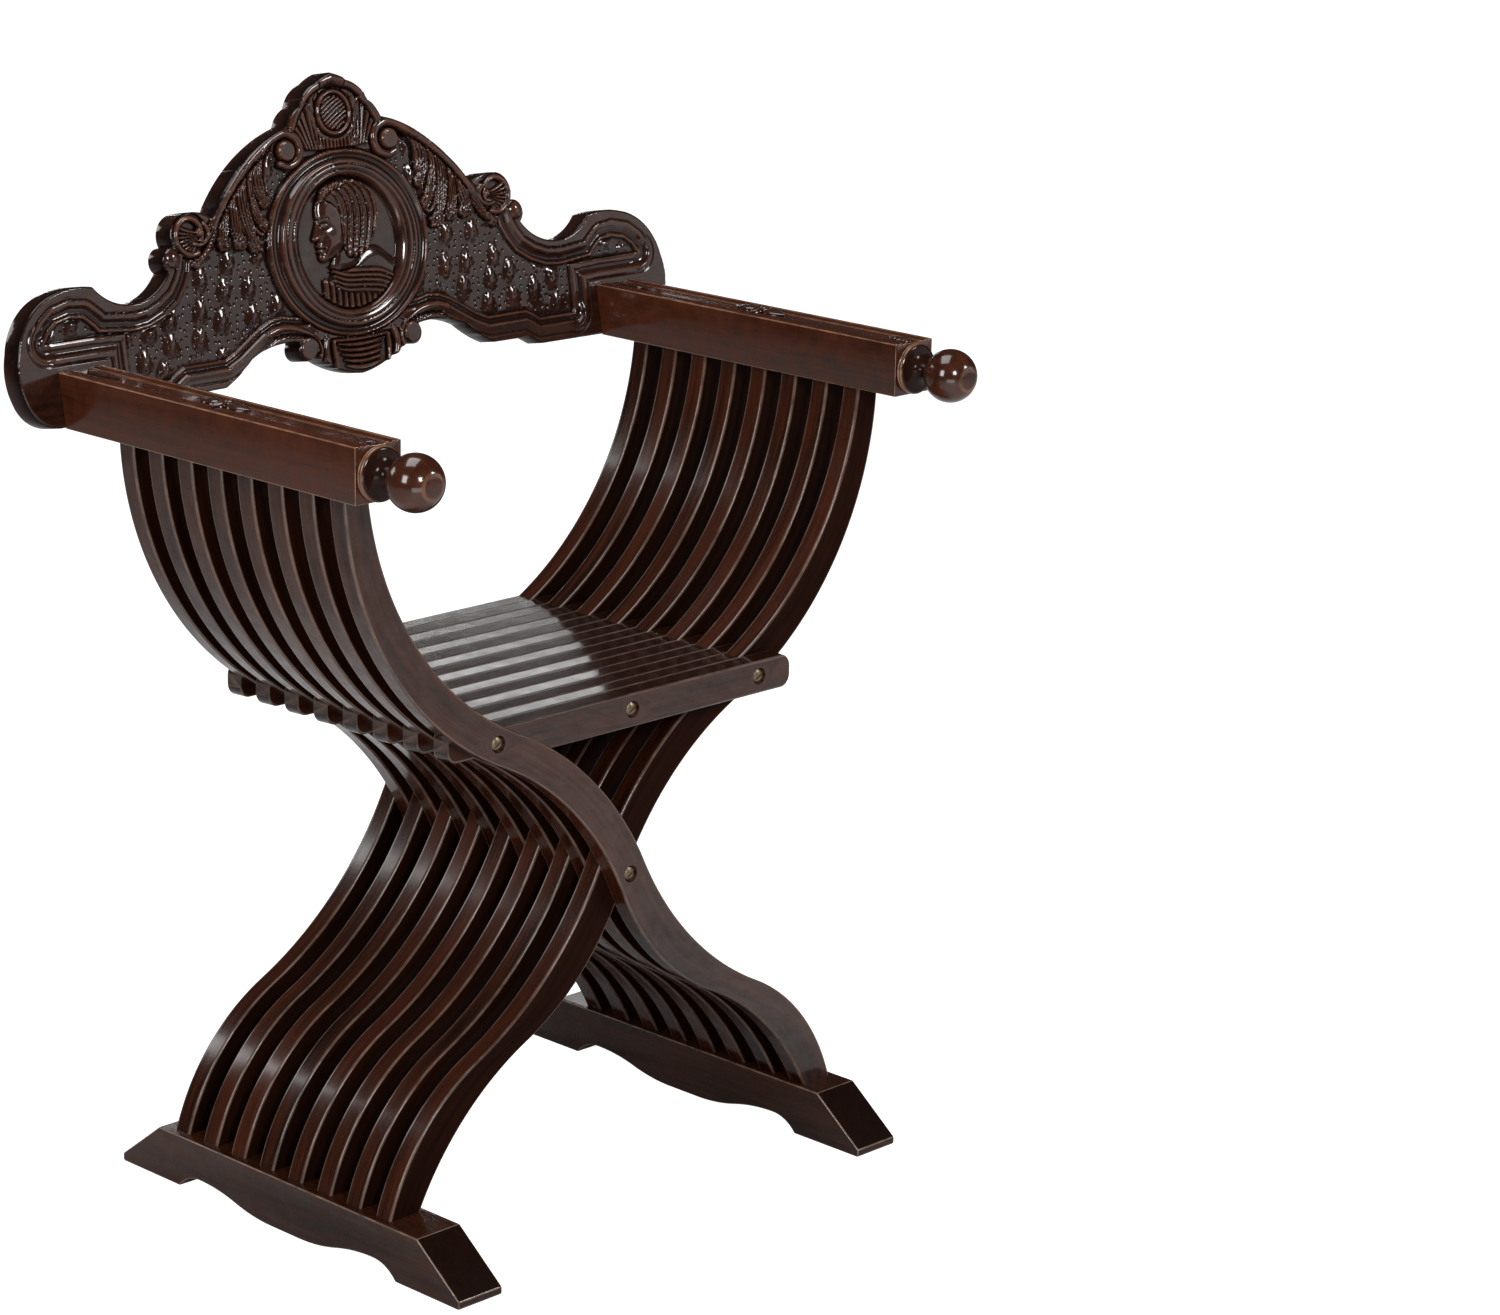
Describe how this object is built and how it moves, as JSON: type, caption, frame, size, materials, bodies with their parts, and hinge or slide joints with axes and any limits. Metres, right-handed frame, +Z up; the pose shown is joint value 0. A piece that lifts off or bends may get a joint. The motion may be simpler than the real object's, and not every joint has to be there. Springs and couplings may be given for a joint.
{
  "type": "savonarola chair",
  "caption": "Folding scissor armchair of interleaved S-curved staves with a slatted seat, sled feet, ball-ended arms and a carved lift-off back panel.",
  "frame": {"origin": "on the floor, at the middle of the box around the chair", "axes": "+Z up, -Y is the front of the chair, +X is to the right seen from the front"},
  "size_m": [0.752, 0.5089, 0.9478],
  "materials": {
    "frame_wood": "dark red-brown walnut or mahogany under worn polish, near black in the recesses",
    "carved_wood": "dark polished carving, lighter and redder on rubbed high edges",
    "rod_brass": "dull antique brass with dark patina"
  },
  "bodies": {
    "pivot": {"centre_pivot_rod": "rod_brass", "centre_rod_screws": "rod_brass"},
    "left_arm_frame": {"arm_left": "frame_wood", "finial_left": "frame_wood", "foot_right": "frame_wood", "left_arm_stave_1": "frame_wood", "left_arm_stave_2": "frame_wood", "left_arm_stave_3": "frame_wood", "left_arm_stave_4": "frame_wood", "left_arm_stave_5": "frame_wood", "left_arm_stave_6": "frame_wood", "left_arm_stave_7": "frame_wood", "left_arm_stave_8": "frame_wood", "left_seat_rod": "rod_brass", "left_seat_rod_screws": "rod_brass"},
    "right_arm_frame": {"arm_right": "frame_wood", "finial_right": "frame_wood", "foot_left": "frame_wood", "right_arm_stave_1": "frame_wood", "right_arm_stave_2": "frame_wood", "right_arm_stave_3": "frame_wood", "right_arm_stave_4": "frame_wood", "right_arm_stave_5": "frame_wood", "right_arm_stave_6": "frame_wood", "right_arm_stave_7": "frame_wood", "right_arm_stave_8": "frame_wood", "right_seat_rod": "rod_brass", "right_seat_rod_screws": "rod_brass"},
    "left_seat": {"left_seat_slat_1": "frame_wood", "left_seat_slat_2": "frame_wood", "left_seat_slat_3": "frame_wood", "left_seat_slat_4": "frame_wood", "left_seat_slat_5": "frame_wood", "left_seat_slat_6": "frame_wood", "left_seat_slat_7": "frame_wood", "left_seat_slat_8": "frame_wood", "middle_seat_rod_left_lengths": "rod_brass", "middle_screw_back": "rod_brass"},
    "right_seat": {"right_seat_slat_1": "frame_wood", "right_seat_slat_2": "frame_wood", "right_seat_slat_3": "frame_wood", "right_seat_slat_4": "frame_wood", "right_seat_slat_5": "frame_wood", "right_seat_slat_6": "frame_wood", "right_seat_slat_7": "frame_wood", "right_seat_slat_8": "frame_wood", "middle_seat_rod_right_lengths": "rod_brass", "middle_screw_front": "rod_brass"},
    "back_panel": {"back_panel": "carved_wood"}
  },
  "joints": [
    {"name": "fold", "type": "hinge", "parent": "pivot", "child": "left_arm_frame", "pos_m": [0, 0, 0.3005], "axis": [0, 1, 0], "range_deg": [0, 30]},
    {"name": "fold_right", "type": "hinge", "parent": "pivot", "child": "right_arm_frame", "pos_m": [0, 0, 0.3005], "axis": [0, 1, 0], "range_deg": [-30, 0]},
    {"name": "left_seat_hinge", "type": "hinge", "parent": "left_arm_frame", "child": "left_seat", "pos_m": [-0.155, 0, 0.448], "axis": [0, 1, 0], "range_deg": [-97.04, 0]},
    {"name": "right_seat_hinge", "type": "hinge", "parent": "right_arm_frame", "child": "right_seat", "pos_m": [0.155, 0, 0.448], "axis": [0, 1, 0], "range_deg": [0, 97.04]},
    {"name": "panel_lift", "type": "slide", "parent": "pivot", "child": "back_panel", "axis": [0, 0.181, 0.9835], "range_m": [0, 0.7335]}
  ],
  "couplings": [
    {"joint": "fold_right", "follows": "fold", "ratio": -1},
    {"joint": "left_seat_hinge", "follows": "fold", "ratio": -3.2343},
    {"joint": "right_seat_hinge", "follows": "fold", "ratio": 3.2343},
    {"joint": "panel_lift", "follows": "fold", "m_per_rad": 1.4}
  ]
}
